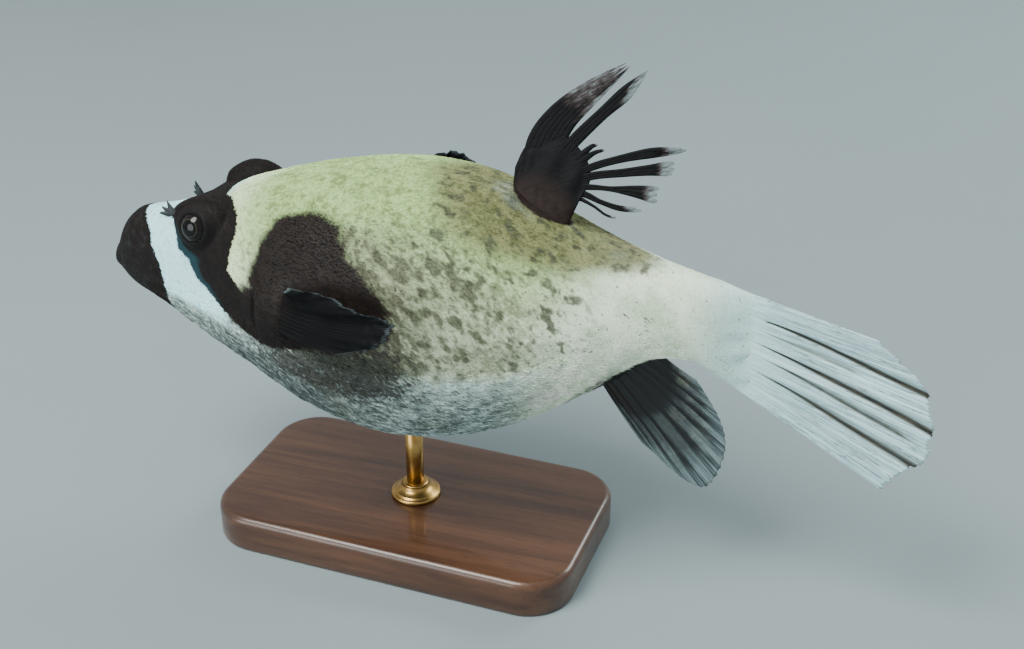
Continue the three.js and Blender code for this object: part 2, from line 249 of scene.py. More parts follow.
floor_reach = 4
floor_finish, wire, feed = material("floor_paint", roughness=0.75)
feed(base_color=wire.noise(240).mix((134, 149, 153), (142, 156, 160)))
floor_corners = np.array([[-1, -1, 0], [1, -1, 0], [1, 1, 0], [-1, 1, 0]]) * floor_reach
floor = make_piece("floor", floor_corners, [np.array([[0, 1, 2, 3]])], floor_finish)

# -------------------- skin
# The whole hide of the fish, from inside the mouth to the flesh over the tail fin's roots: one
# shell without a seam, drawn a coat's depth inside the solids. Orbits, lids, lips, gill slit
# and the fleshy pads under the fins are pushed out of it or pressed into it.


def solid_box(node):
    """The low and the high corner of one of the model's solids, in mm."""
    return [np.array(corner) * 1000 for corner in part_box(node)]


eye_at = np.array([44, 18.8, 24.3])  # the right eye, in the fish's frame
shift = sum(solid_box("eye_left")) / 2 - eye_at * [1, -1, 1]  # fish's frame to model, in mm


def to_model(points):
    """Points in the fish's frame in mm as points of the model in metres."""
    return (points + shift) / 1000


coat_depth = 0.35

# Rings from inside the mouth to the tail: x, back, belly, half the breadth, broadest line, squareness.
rings = np.array([
    [7.4, 0.6, -0.6, 1.5, 0, 1],
    [6, 1.4, -1.4, 3.1, 0, 1],
    [3.8, 1.5, -1.4, 3.8, 0, 1],
    [1.6, 1.6, -1.5, 4.1, 0, 1],
    [0.2, 2.4, -2.2, 4.5, 0, 1],
    [-0.4, 3.7, -3.3, 5.2, 0, 1],
    [0, 5.1, -4.5, 5.9, 0, 1],
    [1, 6, -5.2, 6.3, 0, 1],
    [1.5, 7.6, -5.7, 6.6, 0, 1],
    [2.2, 10.2, -6.4, 7.1, 0.1, 1],
    [3.4, 12.7, -7.3, 7.8, 0.2, 1],
    [6.2, 15.9, -9, 10, 0.5, 0.98],
    [10, 18.6, -10.8, 12.3, 1, 0.95],
    [22, 21, -13.3, 17.4, 2, 0.88],
    [38, 28, -21, 22.5, 3, 0.85],
    [58, 36, -28, 30.5, 3, 0.88],
    [82, 43, -39, 37.5, 2, 0.92],
    [108, 47.5, -43.5, 40, 1.5, 0.95],
    [132, 46, -39, 37.5, 3, 0.97],
    [152, 38.5, -30, 31, 4, 0.98],
    [170, 32, -17, 23, 8, 1],
    [186, 28, -4.5, 15, 11, 1],
    [200, 25.5, -3, 10, 11, 1],
    [206, 24.8, -6.4, 7.6, 9, 1],
    [211, 23.6, -9.4, 4.6, 7, 1],
    [216, 22.4, -12.1, 1.9, 5, 1],
    [221, 21.2, -14.7, 0.35, 4, 1],
])


def through(knots, at):
    """The uniform Catmull-Rom curve through an array of knots, at places counted in knots from 0.

    Between knots b and c, with neighbours a and d and f from 0 to 1, it is half of
    2b + (c - a)f + (2a - 5b + 4c - d)f² + (3b - a - 3c + d)f³.
    """
    knots = np.asarray(knots, dtype=float)
    ends = np.vstack([2 * knots[0] - knots[1], knots, 2 * knots[-1] - knots[-2]])
    i = np.clip(np.floor(at).astype(int), 0, len(knots) - 2)
    f = (at - i)[..., None]
    a, b, c, d = ends[i], ends[i + 1], ends[i + 2], ends[i + 3]
    return (2 * b + (c - a) * f + (2 * a - 5 * b + 4 * c - d) * f**2 + (3 * b - a - 3 * c + d) * f**3) / 2


def rise(low, high, value):
    """0 at low, 1 at high and 3t² - 2t³ between them; low may be the larger of the two."""
    t = np.clip((value - low) / (high - low), 0, 1)
    return t * t * (3 - 2 * t)


def bell(value, width, power=2):
    """1 where the value is 0, falling off to both sides over that width."""
    return np.exp(-(value / width) ** power)


def round_turn(count):
    """That many angles spaced evenly round a full turn."""
    return np.arange(count) * 2 * math.pi / count


def unit(vectors):
    """Vectors brought to length 1."""
    return vectors / np.linalg.norm(vectors, axis=-1, keepdims=True)


def ripple(points, size, seed):
    """Smooth noise of about -1 to 1: the sum of 24 plane waves of that length in random directions."""
    random = np.random.default_rng(seed)
    ways = unit(random.normal(size=(24, 3))) * 2 * math.pi / size
    return np.sin(points @ ways.T + random.uniform(0, 2 * math.pi, 24)).sum(-1) / 5


# Rows stand close on the head and further apart on the trunk; columns go round from the back.
row_gap_head, row_gap_trunk = 0.42, 0.7
columns = 232
fine = np.linspace(0, len(rings) - 1, 6000)
fine_rings = through(rings, fine)
path = np.abs(np.diff(fine_rings[:, :2], axis=0)).max(axis=1)
row_gap = np.interp(fine_rings[1:, 0], [60, 75], [row_gap_head, row_gap_trunk])
count = np.concatenate([[0], np.cumsum(path / row_gap)])
profile = through(rings, np.interp(np.arange(int(count[-1]) + 1), count, fine))
rows = len(profile)
turn = round_turn(columns)
ring_x, back, belly, half, broadest, square = (profile[:, i, None] for i in range(6))
up = np.sign(np.cos(turn)) * np.abs(np.cos(turn)) ** square
out = np.sign(np.sin(turn)) * np.abs(np.sin(turn)) ** square
skin = np.stack([
    ring_x + 0 * turn,
    out * half,
    broadest + up * np.where(up > 0, back - broadest, broadest - belly),
], axis=-1)


def around(grid):
    """What the next column of a grid that closes round its columns has over the one before."""
    return np.roll(grid, -1, axis=1) - np.roll(grid, 1, axis=1)


def normals(grid):
    """Unit normals of such a grid of points, pointing outwards."""
    return unit(np.cross(np.gradient(grid, axis=0), around(grid)))


outside = normals(skin)
row = np.arange(rows)[:, None]
lip_crest = int(np.argmin(ring_x[:, 0]))
behind_lips = rise(4, 9, ring_x) * (row > lip_crest)
skin = skin - outside * coat_depth * behind_lips[..., None]
degrees = np.degrees(np.minimum(turn, 2 * math.pi - turn))[None, :] + 0 * ring_x
station = ring_x + 0 * degrees
mirror = np.where(skin[..., 1:2] < 0, [1, -1, 1], [1, 1, 1])  # lays the left side on the right

# Orbits: each stands out of the skull as part of an ellipsoid, run into the cheek with a fillet.
orbit_at = np.array([45.2, 17, 23.3])
orbit_size = np.array([11, 8, 10]) - coat_depth
orbit_fillet = 1.6
start = (skin * mirror - orbit_at) / orbit_size
way = outside * mirror / orbit_size
square_way = (way * way).sum(-1)
cross_way = (start * way).sum(-1)
inside = (start * start).sum(-1)
reach = (-cross_way + np.sqrt(np.maximum(cross_way**2 - square_way * (inside - 1), 0))) / square_way
reach = np.where(inside < 1, reach, (1 - np.sqrt(inside)) * orbit_size.mean())
lift = (reach + np.sqrt(reach**2 + orbit_fillet**2)) / 2 * (reach > -6)
skin = skin + outside * lift[..., None]

# Eye openings: round the gaze, the skin first gathers on the rim, then dives under the eyeball.
eye_radius, dive = 6.5, 1.1
gaze = unit(np.array([-0.1, 0.95, 0.26]))
opening, gather = 43, 6
from_eye = skin * mirror - eye_at
far = np.linalg.norm(from_eye, axis=-1)
aside = np.degrees(np.arccos(np.clip(from_eye @ gaze / far, -1, 1)))
near_eye = far < 16
t = np.clip((aside - opening) / gather, -1, 1)
gathered = np.where(np.abs(t) < 1, opening + gather * t**3, aside)
across = from_eye - (from_eye @ gaze)[..., None] * gaze
across = across / np.maximum(np.linalg.norm(across, axis=-1, keepdims=True), 1e-6)
past_rim = aside - opening
lid = 0.35 * bell(past_rim - 5, 6) - 0.3 * bell(past_rim - 24, 6) + 0.22 * bell(past_rim - 34, 6)
open_share = rise(1.5, -1.5, past_rim)
deep = (far + lid) * (1 - open_share) + (eye_radius - dive) * open_share
angle = np.radians(gathered)[..., None]
eyed = eye_at + deep[..., None] * (np.cos(angle) * gaze + np.sin(angle) * across)
skin = np.where((near_eye & (aside < 90))[..., None], eyed * mirror, skin)

# Folds and pads, along the normals, in mm outwards.
outside = normals(skin)
side = np.abs(skin[..., 1])
height = skin[..., 2]


def fin_root(at, length, breadth, folds, fold_size, seed, rim, rim_width, ends):
    """How far points are from a fin's root, 1 at its edge, and the wrinkles of the skin round it."""
    far = np.hypot((station - at) / length, side / breadth)
    wrinkled = np.sin(np.arctan2(side, station - at) * folds + 2.4 * ripple(skin, fold_size, seed))
    return far, wrinkled * bell(far - rim, rim_width) * rise(*ends, station)


dorsal_far, dorsal_frill = fin_root(151, length=9.5, breadth=4.6, folds=19, fold_size=5, seed=4,
                                    rim=1.35, rim_width=0.35, ends=(153, 146))
anal_far, anal_frill = fin_root(177, length=13, breadth=8, folds=21, fold_size=6, seed=5,
                                rim=1.45, rim_width=0.4, ends=(184, 172))
above, below = height > 25, height < 8
pectoral_pad = 2.4 * bell(station - 76.5, 6.5, 4) * bell(height - 8.5, 9, 4)
from_gill = station - 69.5 - 0.01 * (height - 7) ** 2
gill_slit = -1.3 * bell(from_gill, 0.7) * bell(height - 7, 6.5, 4)
gill_lip = 0.5 * bell(from_gill + 2.2, 1.5) * bell(height - 7, 8, 4)
lip_wrinkles = 0.1 * np.sin(34 * turn) * bell(row - lip_crest, 7)
dorsal_front = 1.3 * bell(station - 141.5, 5) * bell(side, 8)
dorsal_pad = (1.6 * np.exp(-dorsal_far**3) + dorsal_front + 0.14 * dorsal_frill) * above
anal_pad = (1.8 * np.exp(-anal_far**4) + 0.3 * anal_frill) * below
brow = 1.6 * bell(station - 36.5, 3.8) * bell(degrees - 30, 11)
loose = ripple(skin * [0.5, 1, 1], 7, 1) * 0.15 + ripple(skin * [0.6, 1, 1], 3.2, 2) * 0.08
loose = loose * (0.3 + 0.7 * rise(70, 120, degrees)) * rise(8, 30, station) * rise(205, 190, station)
flesh_end = 0.9 * rise(206, 220, station) * ripple(skin * [0.2, 0.2, 1], 5, 6)
skin = skin + np.array([1, 0, -0.5]) * flesh_end[..., None]
push = (pectoral_pad + gill_slit + gill_lip) * (side > 20)
push = push + lip_wrinkles + dorsal_pad + anal_pad + brow + loose
skin = skin + outside * push[..., None]

# Markings, as fields over the skin in mm or shares, with painted shade on the lower front belly and
# below the pectoral fin and a painted blue sheen on the mask's front edge among them. A border is a
# curve of x against the turn from the back, 0, to the belly, 180. Skin and prickles carry the same
# fields.
snout_edge = np.interp(degrees, [0, 15, 29, 43, 60, 75, 90, 180],
                       [11.8, 13, 15.8, 19.2, 21.4, 25, 27.2, 27.6])
mask_front = np.interp(degrees, [0, 12, 25, 33, 43, 62, 70, 81, 86, 93, 98, 101, 104],
                       [23.6, 24.2, 25.6, 29.3, 31.6, 34.4, 39.6, 43.6, 48.4, 56.8, 65.4, 72, 90])
mask_rear = np.interp(degrees, [0, 13, 19, 36, 47, 60, 70, 75, 79, 82, 88, 94, 96, 98, 100, 102],
                      [45.5, 47, 51, 57.5, 59, 58.3, 58, 61, 64, 80, 92, 87, 82, 77, 72, 66])
blotch_front = np.interp(degrees, [33, 35, 39, 48, 60, 68, 74, 79, 83],
                         [84, 78, 73.4, 70.4, 68.6, 66.6, 67, 62, 58])
blotch_rear = np.interp(degrees, [33, 36, 40, 47, 55, 61, 68, 79, 83, 88, 90, 92, 95, 97],
                        [84.8, 90.7, 95.2, 98.3, 103.1, 108.8, 115.7, 119.3, 117.6, 111, 104, 94, 83, 77])
step_along = np.maximum(np.linalg.norm(np.gradient(skin, axis=0), axis=-1), 0.05)
step_around = np.maximum(np.linalg.norm(around(skin), axis=-1), 0.05)


def evened(field):
    """A field of the skin divided by its own slope, so that it counts mm on both sides of its border."""
    slope = np.hypot(np.gradient(field, axis=0) / step_along, around(field) / step_around)
    return field / np.clip(slope, 1, 4)


arc = 0.7  # mm round the flank for each degree of turn
# width in mm of the painted blue sheen, ambient water light on the rounded skin in front of the eye,
# along the mask's front edge
blue_sheen_width = np.interp(degrees, [32, 40, 56, 63, 70, 80, 92], [3, 7, 7.4, 5.6, 4.8, 3.6, 1.6])
from_front = evened(station - mask_front)
blotch = np.minimum(evened(station - blotch_front), evened(blotch_rear - station))
fields = {
    "snout": evened(snout_edge - station),
    "mask": np.minimum(from_front, evened(mask_rear - station)),
    # painted sheen, not a marking: blue ambient light on the mask's front edge
    "blue_sheen": rise(-1, 0.8, from_front) * rise(1, 0.45, from_front / blue_sheen_width)
              * rise(30, 40, degrees) * rise(94, 82, degrees) * (station < 56),
    "blotch": np.minimum(blotch, np.minimum(degrees - 33, 97 - degrees) * arc),
    "band": rise(80, 44, station) * rise(1, 8, station)
            * (1 - rise(92, 112, degrees) * rise(20, 32, station)),
    "nape": rise(42, 52, station) * rise(84, 74, degrees),
    "aft": rise(108, 140, station) * rise(128, 108, degrees),
    "belly": rise(82, 112, degrees + 0.08 * (110 - station)) * rise(14, 26, station),
    "run": station,  # with cosine and sine, the place on the hide for strokes drawn out along it
    "cosine": 35 * np.cos(turn),
    "sine": 35 * np.sin(turn),
    "back": rise(85, 30, degrees),
    "tail": rise(150, 182, station + 0.14 * (degrees - 60)),
    "end": rise(196, 214, station),
    "saddle": rise(112, 138, station - 0.35 * (degrees - 28)) * rise(195, 180, station)
              * rise(54, 26, degrees + 0.9 * np.maximum(station - 165, 0)),
    "spots": rise(80, 104, station) * rise(184, 156, station) * rise(26, 60, degrees)
             * rise(155, 122, degrees) * (0.36 + 0.64 * bell(station - 120, 25)),
    "shade": bell(station - 97, 28, 4) * bell(degrees - 99, 14, 4),
    # painted shade: the lower front belly darkened where the light from above falls off
    "underside_shade": rise(36, 60, station) * rise(112, 84, station) * rise(98, 118, degrees),
    "rim": bell(np.where(below, anal_far, dorsal_far) - 1.3, 0.4) * (above | below)
           * np.where(below, rise(184, 172, station), rise(152, 145, station)),
    "frill": anal_frill * below + dorsal_frill * above,
    "anal": rise(1.35, 0.75, anal_far) * below,
    "dorsal": rise(1.15, 0.85, dorsal_far) * above,
    "lips": rise(10, 0, row - lip_crest),
    "socket": rise(20, -2, past_rim) * near_eye,
}
fields = {name: field + np.zeros((rows, columns)) for name, field in fields.items()}


def hide(name, light, bumped=True):
    """The fish's hide: its colours by the marking fields, painted shade and sheen among them, with
    mottling, spots and dots.

    light is the gain on the pale colours. clouds, mottles, grains and fibres swing from -0.5 to 0.5.
    """
    made, wire, feed = material(name, specular=0.2)
    field = {key: wire.attribute(key) for key in fields}

    def pale(*levels):
        return [min(255, level * light) for level in levels]

    def slanted(size, detail, roughness, drawn_out):
        return wire.noise(size, detail, roughness, (drawn_out, 1, 1), (0, math.radians(42), 0))

    cloud, mottle = slanted(8, 3, 0.6, 1.5), slanted(2.4, 4, 0.65, 1.7)
    grain, fibre = slanted(0.8, 3, 0.65, 1.8), slanted(0.45, 3, 0.6, 3.6)
    clouds, mottles, grains, fibres = (noise - 0.5 for noise in (cloud, mottle, grain, fibre))
    mixed = (mottle * 0.45 + grain * 0.3 + cloud * 0.25).step(0.38, 0.58)
    uneven = mottle.step(0.3, 0.75)
    strokes = wire.streaks(field["run"] * 0.24, field["cosine"], field["sine"], 4, 0.65, scale=1.2)
    # the painted shade on the lower front belly also adds a little to the belly's dark strokes
    darker = field["underside_shade"] * 0.03 + field["belly"] * 0.16 - 0.12 - field["aft"] * 0.05
    belly = (strokes * 0.6 + grain * 0.25 + mottle * 0.15 - darker).step(0.37, 0.63)
    pallor = (field["belly"] * 1.6 - 0.3 + clouds * 1.1 + mottles * 0.9).step(0, 1)
    white = (mixed * 0.5 + fibre * 0.5).step(0.15, 0.6).mix(pale(162, 204, 216), pale(194, 240, 251))
    saddle = (field["saddle"] + clouds * 1.2 + mottles * 0.7).step(0.08, 1) * 0.92
    speckled = field["spots"].most(saddle * 0.45)
    large = (slanted(3.2, 2, 0.5, 1.6) + cloud * 0.3 + speckled * 0.16 + grains * 0.18).step(0.73, 0.88)
    small = (slanted(1.8, 2, 0.5, 1.6) + speckled * 0.1 + grains * 0.12).step(0.58, 0.74)
    spots = (large * 0.88).most(small * 0.68) * speckled.step(0.02, 0.25) * (1 - pallor * 0.75)
    dots = (0.095 + grains * 0.04 - wire.cells(3.1)).step(0, 0.03)
    dots = dots * speckled.most(field["tail"] * 0.6).most(field["back"] * 0.35).step(0.05, 0.4) * 0.85
    halo = (field["blotch"] + 38 + clouds * 34 + mottles * 44).step(0, 40) * 0.5
    wrinkles = field["frill"] + grains * 1.2
    smudge = (field["blotch"] + 3.5 + clouds * 16 + mottles * 7).step(0, 5) * 0.55
    shade = (field["shade"] + mottles * 2 + fibres * 2).step(0.25, 0.8) * 0.92
    blotched = (field["blotch"] + clouds * 5 + mottles * 5 + fibres * 3).step(-1.8, 1.6)
    teeth = grains * 2.6 + mottles
    snouted = (field["snout"] + teeth).step(-0.15, 0.25)
    masked = (field["mask"] + teeth).step(-0.15, 0.25).most(snouted)
    tone = coated(
        field["back"].mix(mixed.mix(pale(138, 148, 120), pale(218, 234, 200)),
                          mixed.mix(pale(116, 136, 84), pale(170, 204, 134))),
        (pallor, belly.mix(pale(66, 80, 79), pale(192, 214, 209))),
        # painted shade on the lower front belly
        (field["underside_shade"] * 0.55, belly.mix((28, 34, 35), (114, 132, 131))),
        (field["band"].step(0.25, 0.95),
         field["nape"].mix(white, mixed.mix(pale(168, 188, 142), pale(214, 234, 190)))),
        (field["tail"],
         (cloud * 0.7 + grain * 0.3).step(0.35, 0.6).mix(pale(198, 220, 188), pale(234, 254, 226))),
        (field["end"], pale(202, 238, 233)),
        (saddle, mixed.mix(pale(82, 80, 49), pale(132, 134, 91))),
        (spots, grain.step(0.3, 0.7).mix(pale(46, 50, 38), pale(90, 98, 76))),
        (dots, (34, 34, 30)),
        (halo * field["spots"].step(0.05, 0.55), mixed.mix((54, 53, 42), (108, 108, 88))),
        (field["rim"] * (0.5 + mottles * 2), pale(120, 130, 114)),
        (wrinkles.step(0.1, 0.9) * 0.6, (62, 68, 64)),
        ((wrinkles * -1).step(0.2, 0.9) * 0.5, pale(156, 172, 160)),
        (smudge * field["spots"].step(0, 0.4).most(0.6), (76, 74, 56)),
        (shade, (mottle * 0.5 + grain * 0.5).step(0.36, 0.64).mix((20, 20, 20), (58, 60, 54))),
        (blotched, uneven.mix((16, 11, 10), (34, 26, 21))),
        (masked, uneven.mix((9, 7, 7), (24, 17, 15))),
        (snouted * mottle.step(0.52, 0.75) * 0.35, (48, 60, 63)),
        # painted blue sheen along the mask's front edge
        (field["blue_sheen"] * 0.7, grain.step(0.2, 0.8).mix((14, 44, 54), (34, 74, 84))),
        ((field["dorsal"] + mottles * 0.9).step(0.25, 0.7),
         mottle.step(0.3, 0.7).mix((26, 19, 18), (42, 32, 29))),
        ((field["anal"] + mottles * 0.8).step(0.25, 0.75), (14, 15, 17)),
        (field["lips"] * grain.step(0.35, 0.75) * 0.6, (54, 52, 52)),
        # the eye sockets' black is thinner where the painted blue sheen lies
        (field["socket"] * (0.9 - field["blue_sheen"] * 0.45), (7, 7, 8)),
    )
    feed(base_color=tone, roughness=grain.step(0.2, 0.8) * 0.2 + masked * 0.16 + 0.42)
    if bumped:
        relief = (grain * 0.4 + fibre * 0.6 + mottle * 0.8) * (1 - blotched.most(masked) * 0.6)
        feed(bump=(relief, 0.4, 0.9))
    return made


def shell_faces(rows, columns):
    """Faces of a closed shell: a first pole, then rings of points, then a last pole."""
    ring = 1 + np.arange(rows * columns).reshape(rows, columns)
    after = np.roll(ring, -1, axis=1)
    first = np.stack([after[0], ring[0], 0 * ring[0]], axis=-1)
    last = np.stack([ring[-1], after[-1], 0 * ring[-1] + rows * columns + 1], axis=-1)
    return [np.stack([ring[:-1], after[:-1], after[1:], ring[1:]], axis=-1).reshape(-1, 4), first, last]


def with_poles(grid, bulge=0):
    """Values or points on rings as one list, with the mean of each end ring added as its pole."""
    poles = grid[0].mean(axis=0), grid[-1].mean(axis=0) + bulge
    return np.concatenate([[poles[0]], grid.reshape(-1, *grid.shape[2:]), [poles[1]]])


make_piece("skin", to_model(with_poles(skin, bulge=np.array([0.4, 0, 0]))), shell_faces(rows, columns),
           hide("hide", light=1), replaced=("head", "trunk", "tail_stalk"), slot="body_skin",
           attributes={key: with_poles(value) for key, value in fields.items()})

# -------------------- prickles
# Dermal spines that stand in the hide like short stiff hairs and lean tailward: tiny on the face,
# longest on the belly, none on the lips, round the eyes, on the fin bases or the end of the tail stalk.
# Each is a closed thorn of four faces: two root corners, a ridge corner above them, and a tip.

random = np.random.default_rng(7)
backward = np.gradient(skin, axis=0)
sideways = around(skin) / 2
patch = np.linalg.norm(np.cross(backward, sideways), axis=-1)
outside = normals(skin)
bare = np.maximum.reduce([
    rise(15, 8, station), rise(190, 203, station), rise(26, 16, past_rim) * near_eye,
    fields["dorsal"], fields["anal"]])
prickle_length = (0.42 + 0.45 * rise(35, 95, station) + 0.25 * fields["back"] * rise(60, 90, station)
                  + 0.75 * fields["belly"]) * (1 - 0.5 * rise(160, 195, station))
prickle_density = (1.9 + 0.7 * fields["belly"] + rise(75, 45, station)) * (1 - bare)
number = (prickle_density * patch + random.random(patch.shape)).astype(int).ravel()
root = np.repeat(np.arange(number.size), number)
prickles = len(root)


def at_roots(values):
    """What an array over the skin holds at each prickle's root."""
    return values.reshape(number.size, -1)[root]


root_sink, root_half, head_end = 0.06, 0.075, 66
spread = random.random((prickles, 2)) - 0.5
away_from_skin = at_roots(outside)
foot = at_roots(skin) + at_roots(backward) * spread[:, :1] + at_roots(sideways) * spread[:, 1:]
foot = foot - away_from_skin * root_sink
droop = 0.35 * at_roots(np.sin(turn) + 0 * patch)
yaw = random.normal(0, 0.28, (prickles, 1)) + droop
lean = np.tan(np.radians(random.uniform(8, 20, (prickles, 1))))
lie = unit(unit(at_roots(backward)) + unit(at_roots(sideways)) * yaw + away_from_skin * lean)
flank = unit(np.cross(away_from_skin, lie))
length = at_roots(prickle_length) * random.uniform(0.65, 1.3, (prickles, 1))
breadth = root_half * (1 + length)
thorns = np.stack([
    foot + flank * breadth,
    foot - flank * breadth,
    foot + away_from_skin * (root_sink + breadth * 0.9),
    foot + lie * length,
], axis=1)
thorn_faces = np.array([[0, 1, 2], [0, 2, 3], [2, 1, 3], [1, 0, 3]])
unwrap_root = (np.stack(np.divmod(root, columns), axis=1) + 0.5 + spread) / [rows, columns]
unwrap_corners = 0.0015 * np.array([[-1, -1], [1, -1], [0, 1], [0, 0.2]])
unwrap = np.clip(unwrap_root, 0.002, 0.998)[:, None] + unwrap_corners
prickle_finish = hide("prickle", light=1.08, bumped=False)
on_head, on_left = foot[:, 0] < head_end, foot[:, 1] < 0
for name, chosen in (("head", on_head), ("left", ~on_head & on_left), ("right", ~on_head & ~on_left)):
    starts = 4 * np.arange(chosen.sum())[:, None, None]
    make_piece("prickles_" + name, to_model(thorns[chosen].reshape(-1, 3)),
               [(thorn_faces + starts).reshape(-1, 3)], prickle_finish, slot="body_skin", smooth=False,
               unwrap=unwrap[chosen].reshape(-1, 2),
               attributes={key: np.repeat(at_roots(value)[chosen], 4) for key, value in fields.items()})

# -------------------- eyes
# Glassy globes set deep in the orbits, dark on dark: a wide black pupil in a thin olive ring, and a
# blackish brown iris, under a clear, slightly bulged cornea, which is the shader's clear coat.

globe_rows, globe_columns = 60, 72
globe_aside = np.linspace(1.5, 178.5, globe_rows)[:, None]
globe_turn = round_turn(globe_columns)
gaze_side = unit(np.cross(gaze, [0, 0, 1]))
gaze_up = np.cross(gaze_side, gaze)
globe_ring = gaze_side * np.cos(globe_turn)[:, None] + gaze_up * np.sin(globe_turn)[:, None]
angle = np.radians(globe_aside)[..., None]
globe = gaze * np.cos(angle) + globe_ring * np.sin(angle)
globe = globe * (eye_radius + 0.35 * bell(globe_aside, 34, 4))[..., None]
iris_lines = np.abs(np.sin(globe_turn / 2)) * 6 + np.sin(globe_turn * 3)
pupil, ring_end, iris_end = 23, 25, 40
eye_finish, wire, feed = material("eye_glass", roughness=0.12, coat=0.3, specular=0.15)
off_axis = wire.attribute("aside")
streak = wire.node("ShaderNodeTexNoise", {"W": wire.attribute("around"), "Scale": 9, "Detail": 3},
                   noise_dimensions="1D")
olive = streak.step(0.2, 0.8).mix((34, 33, 25), (70, 68, 50))
iris = streak.step(0.3, 0.7).mix((8, 7, 7), (24, 20, 18))
feed(base_color=coated(
    (2, 2, 3),
    (off_axis.step(pupil - 0.6, pupil + 0.6), olive),
    (off_axis.step(ring_end - 0.8, ring_end + 1.2), iris),
    (off_axis.step(iris_end - 3, iris_end + 1), (8, 7, 8))))
for side_name, way in (("left", -1), ("right", 1)):
    make_piece("eye_globe_" + side_name, to_model(with_poles((eye_at + globe) * [1, way, 1])),
               shell_faces(globe_rows, globe_columns), eye_finish, replaced=("eye_" + side_name,),
               slot="eye", attributes={"aside": with_poles(globe_aside + 0 * iris_lines),
                                       "around": with_poles(iris_lines + 0 * globe_aside)})

# -------------------- beak
# Four fused teeth make a beak of two ivory plates. Each plate is half an ellipsoid, cut flat where it
# meets the other, with a groove down its middle and fine growth ridges beside it.

beak_at = np.array([4, 0, 0])
beak_size = np.array([4.2, 3.8, 2.15])
beak_parting = 0.17
beak_rows, beak_columns = 40, 56
beak_finish, wire, feed = material("ivory", roughness=0.28, coat=0.3)
stain = (wire.attribute("depth") + (wire.noise(0.5) - 0.5) * 1.2).step(0.6, 2.6)
feed(base_color=stain.mix((226, 219, 198), (120, 96, 66)),
     bump=(wire.noise(0.35, 3, 0.6, (1, 1, 5)), 0.1, 0.6))
beak_lean = np.radians(np.linspace(2, 178, beak_rows))[:, None]
beak_turn = round_turn(beak_columns)
plate = beak_at + beak_size * np.stack([
    -np.cos(beak_lean) + 0 * beak_turn,
    np.sin(beak_lean) * np.cos(beak_turn),
    np.sin(beak_lean) * np.sin(beak_turn),
], axis=-1)
groove = 0.35 * bell(plate[..., 1], 0.16) + 0.05 * np.cos(plate[..., 1] * 9)
plate[..., 0] += groove * (plate[..., 0] < beak_at[0])
for plate_name, way in (("upper", 1), ("lower", -1)):
    cut = plate * [1, 1, way]
    cut[..., 2] = np.maximum(cut[..., 2], beak_parting)
    make_piece("beak_plate_" + plate_name, to_model(with_poles(cut * [1, 1, way])),
               shell_faces(beak_rows, beak_columns), beak_finish, replaced=("beak_" + plate_name,),
               slot="beak", attributes={"depth": with_poles(cut[..., 0])})

# -------------------- nasal tentacles
# Each nostril is a small fleshy stalk that splits into three flat, pointed prongs, black like the mask.


def strands(middle, wide, thick, sides):
    """Closed tapering strands: ellipses with half axes wide and thick round each middle line.

    All three are arrays of strand by row by 3. Returns the points and the faces.
    """
    turn = round_turn(sides)[:, None]
    loops = middle[:, :, None] + wide[:, :, None] * np.cos(turn) + thick[:, :, None] * np.sin(turn)
    count, rows = middle.shape[:2]
    loops = loops.reshape(count, rows * sides, 3)
    points = np.concatenate([middle[:, :1], loops, middle[:, -1:]], axis=1)
    starts = np.arange(count)[:, None, None] * (rows * sides + 2)
    faces = [(group + starts).reshape(-1, group.shape[-1]) for group in shell_faces(rows, sides)]
    return points.reshape(-1, 3), faces


nostril_at = np.array([27.4, 8.1, 21.1])
prong_ways = unit(np.array([[-0.52, -0.05, 0.85], [-0.88, 0.1, 0.47], [-1, 0.16, 0.02]]))[:, None]
prong_lengths = np.array([5.2, 5.2, 5.6])[:, None, None]
prong_bow = np.array([-1.4, 0.6, 0.4])
prong_rows, prong_sides = 18, 12
v = np.linspace(0, 1, prong_rows)[:, None]
prong_half = 1.45 * (1 - v) ** 0.8 + 0.1
prongs = prong_ways * prong_lengths * v + prong_bow * v * (1 - v)
prong_side = unit(np.cross(prong_ways, [0, 1, 0])) * prong_half
prong_thick = np.array([0, 0.42, 0]) * prong_half + 0 * prong_side
tentacle_finish, wire, feed = material("tentacle")
feed(base_color=wire.noise(1.6).step(0.3, 0.7).mix((12, 15, 17), (34, 46, 50)),
     bump=(wire.noise(0.5), 0.2, 0.6))
for side_name, way, upright in (("left", -1, 0), ("right", 1, 0.35)):
    raised = prongs * [1 - upright, 1, 1 + 0.3 * upright] + np.array([0, 0, 1.6]) * upright * v
    facing = [1, way, 1]
    points, faces = strands((nostril_at + raised) * facing, prong_side * facing, prong_thick, prong_sides)
    make_piece("tentacle_" + side_name, to_model(points), faces, tentacle_finish,
               replaced=("nasal_tentacle_" + side_name,), slot="dark_fin")
